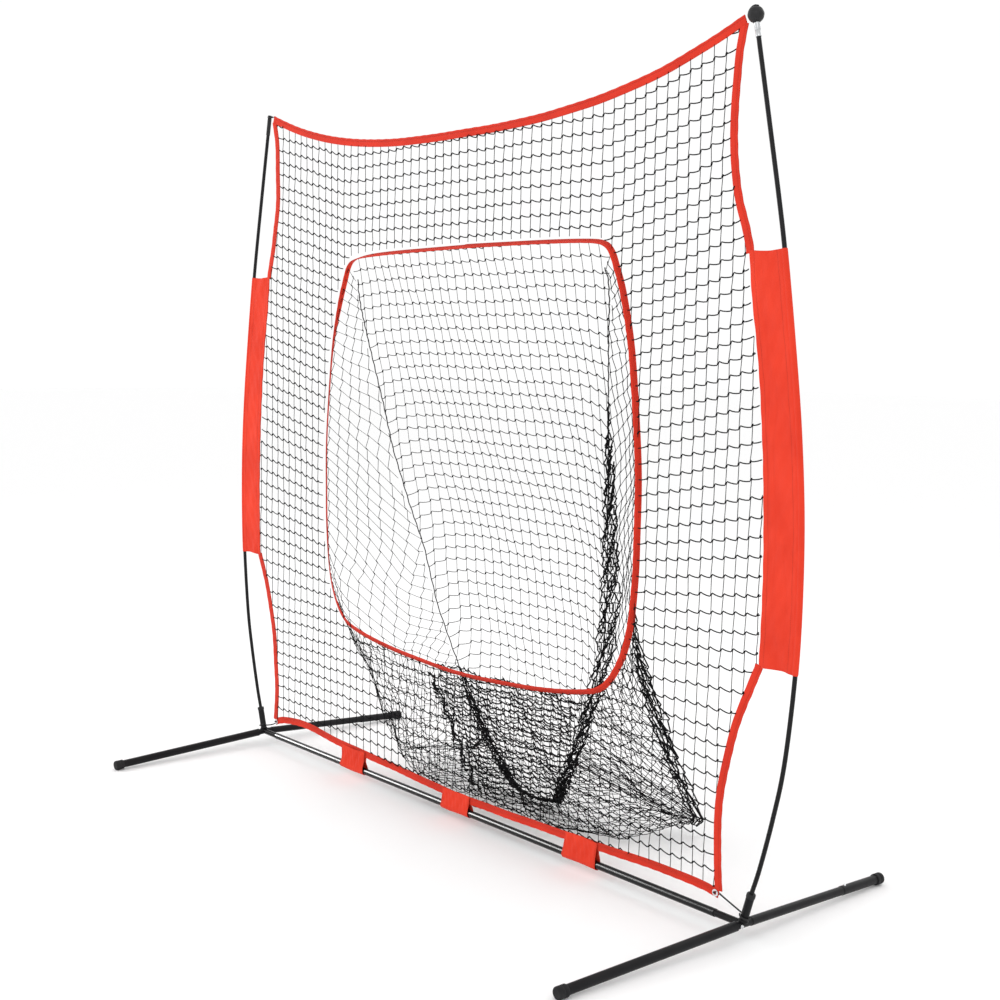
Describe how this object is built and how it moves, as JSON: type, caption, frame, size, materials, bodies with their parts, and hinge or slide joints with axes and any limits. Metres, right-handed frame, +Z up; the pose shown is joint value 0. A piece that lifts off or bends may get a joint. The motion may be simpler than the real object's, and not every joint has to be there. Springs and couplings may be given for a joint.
{
  "type": "pitching target net",
  "caption": "Free-standing ball-stopping net on a bow frame with two feet and a crossbar, with a bound target hole and a net pocket behind it.",
  "frame": {"origin": "on the floor, midway between the feet and midway between the front and rear caps", "axes": "+X to the right seen from the front, +Y to the rear where the pocket hangs, +Z up"},
  "size_m": [2.4646, 1.1274, 2.1351],
  "materials": {
    "black_paint": "gloss black powder coat",
    "cap_rubber": "matt black",
    "black_plastic": "satin black",
    "bright_steel": "bright plated steel",
    "bright_ferrule": "satin",
    "pole_fibreglass": "smooth black fibreglass rod",
    "red_fabric": "woven polyester",
    "red_tape": "woven binding tape",
    "net_twine": "knotted twine",
    "black_cord": "braided cord"
  },
  "bodies": {
    "frame": {"hub_tube_left": "black_paint", "foot_front_tube_left": "black_paint", "foot_rear_tube_left": "black_paint", "foot_rear_extension_left": "black_paint", "foot_front_cap_left": "cap_rubber", "foot_rear_cap_left": "cap_rubber", "pole_socket_left": "black_paint", "socket_collar_left": "black_plastic", "hub_bolt_left": "bright_steel", "crossbar_stub_left": "black_paint", "bow_pole_left": "pole_fibreglass", "side_sleeve_left": "red_fabric", "side_tape_upper_left": "red_tape", "side_tape_lower_left": "red_tape", "corner_grommet_left": "bright_steel", "tie_cord_left": "black_cord", "corner_loop_left": "black_cord", "hub_tube_right": "black_paint", "foot_front_tube_right": "black_paint", "foot_rear_tube_right": "black_paint", "foot_rear_extension_right": "black_paint", "foot_front_cap_right": "cap_rubber", "foot_rear_cap_right": "cap_rubber", "pole_socket_right": "black_paint", "socket_collar_right": "black_plastic", "hub_bolt_right": "bright_steel", "crossbar_stub_right": "black_paint", "bow_pole_right": "pole_fibreglass", "side_sleeve_right": "red_fabric", "side_tape_upper_right": "red_tape", "side_tape_lower_right": "red_tape", "corner_grommet_right": "bright_steel", "tie_cord_right": "black_cord", "corner_loop_right": "black_cord", "pole_ball_right": "black_plastic", "pole_ferrule_right": "bright_ferrule", "pole_tip_left": "black_plastic", "crossbar": "black_paint", "net_panel": "net_twine", "pocket_net": "net_twine", "top_tape": "red_tape", "bottom_tape": "red_tape", "hole_tape": "red_tape", "strap_left": "red_fabric", "strap_middle": "red_fabric", "strap_right": "red_fabric"},
    "foot_button_left": {"foot_snap_button_left": "bright_steel"},
    "foot_button_right": {"foot_snap_button_right": "bright_steel"},
    "crossbar_button_left": {"crossbar_snap_button_left": "bright_steel"},
    "crossbar_button_right": {"crossbar_snap_button_right": "bright_steel"}
  },
  "joints": [
    {"name": "foot_button_press_left", "type": "slide", "parent": "frame", "child": "foot_button_left", "axis": [0, 0, -1], "range_m": [0, 0.0035], "stiffness_N_per_m": 300, "springref_m": -0.003},
    {"name": "foot_button_press_right", "type": "slide", "parent": "frame", "child": "foot_button_right", "axis": [0, 0, -1], "range_m": [0, 0.0035], "stiffness_N_per_m": 300, "springref_m": -0.003},
    {"name": "crossbar_button_press_left", "type": "slide", "parent": "frame", "child": "crossbar_button_left", "axis": [0, 0.4512, 0.8924], "range_m": [0, 0.0035], "stiffness_N_per_m": 300, "springref_m": -0.003},
    {"name": "crossbar_button_press_right", "type": "slide", "parent": "frame", "child": "crossbar_button_right", "axis": [0, -0.4512, 0.8924], "range_m": [0, 0.0035], "stiffness_N_per_m": 300, "springref_m": -0.003}
  ]
}
